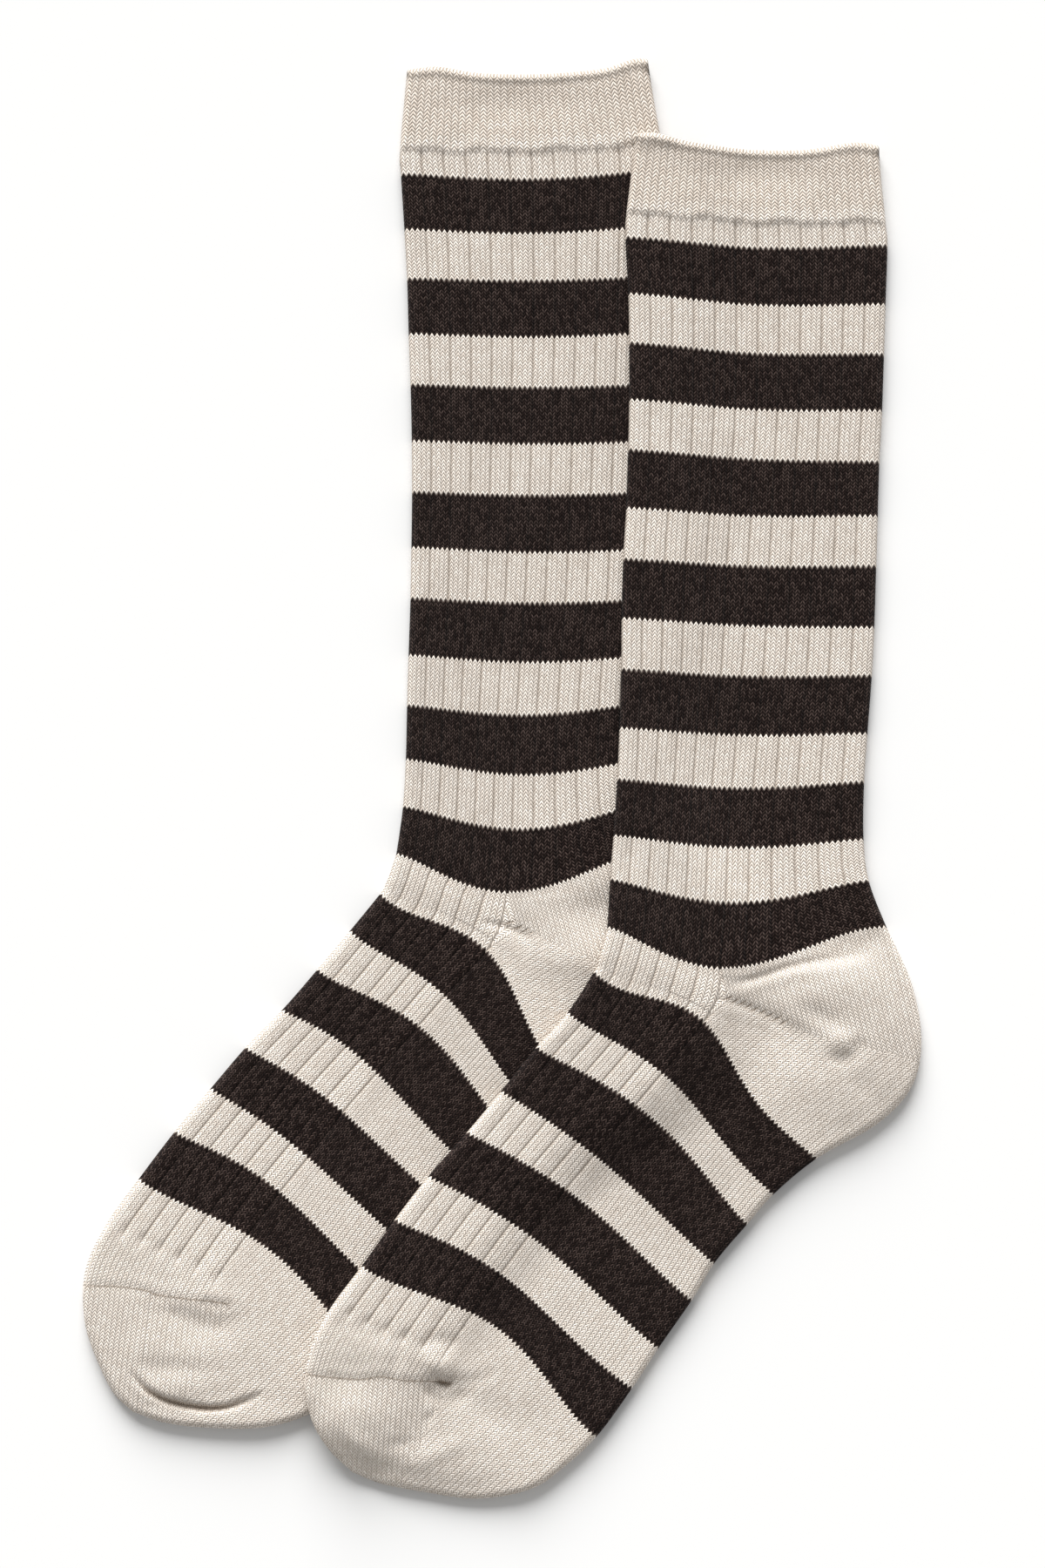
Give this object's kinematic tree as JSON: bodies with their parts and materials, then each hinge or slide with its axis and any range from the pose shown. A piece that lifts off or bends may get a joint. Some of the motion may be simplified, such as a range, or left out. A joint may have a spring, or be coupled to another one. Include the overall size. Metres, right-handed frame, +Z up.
{
  "type": "pair of socks",
  "caption": "Pair of long ribbed crew socks with wide stripes, turned cuffs and plain heels and toes, lying flat in profile, one partly on the other.",
  "frame": {"origin": "on the surface the socks lie on, below the middle of the pair's plan", "axes": "+Z up from the surface, +Y along the legs towards the cuffs, +X towards the heels"},
  "size_m": [0.2702, 0.4608, 0.0135],
  "materials": {
    "cream_knit": "matte undyed cotton knit",
    "striped_knit": "matte ribbed cotton knit in wide cream and dark brown stripes, as one mean colour"
  },
  "bodies": {
    "root": {"lower_sock_cuff": "cream_knit", "lower_sock_leg": "striped_knit", "lower_sock_heel": "cream_knit", "lower_sock_foot": "striped_knit", "lower_sock_toe": "cream_knit", "upper_sock_cuff": "cream_knit", "upper_sock_leg": "striped_knit", "upper_sock_heel": "cream_knit", "upper_sock_foot": "striped_knit", "upper_sock_toe": "cream_knit"}
  },
  "joints": []
}
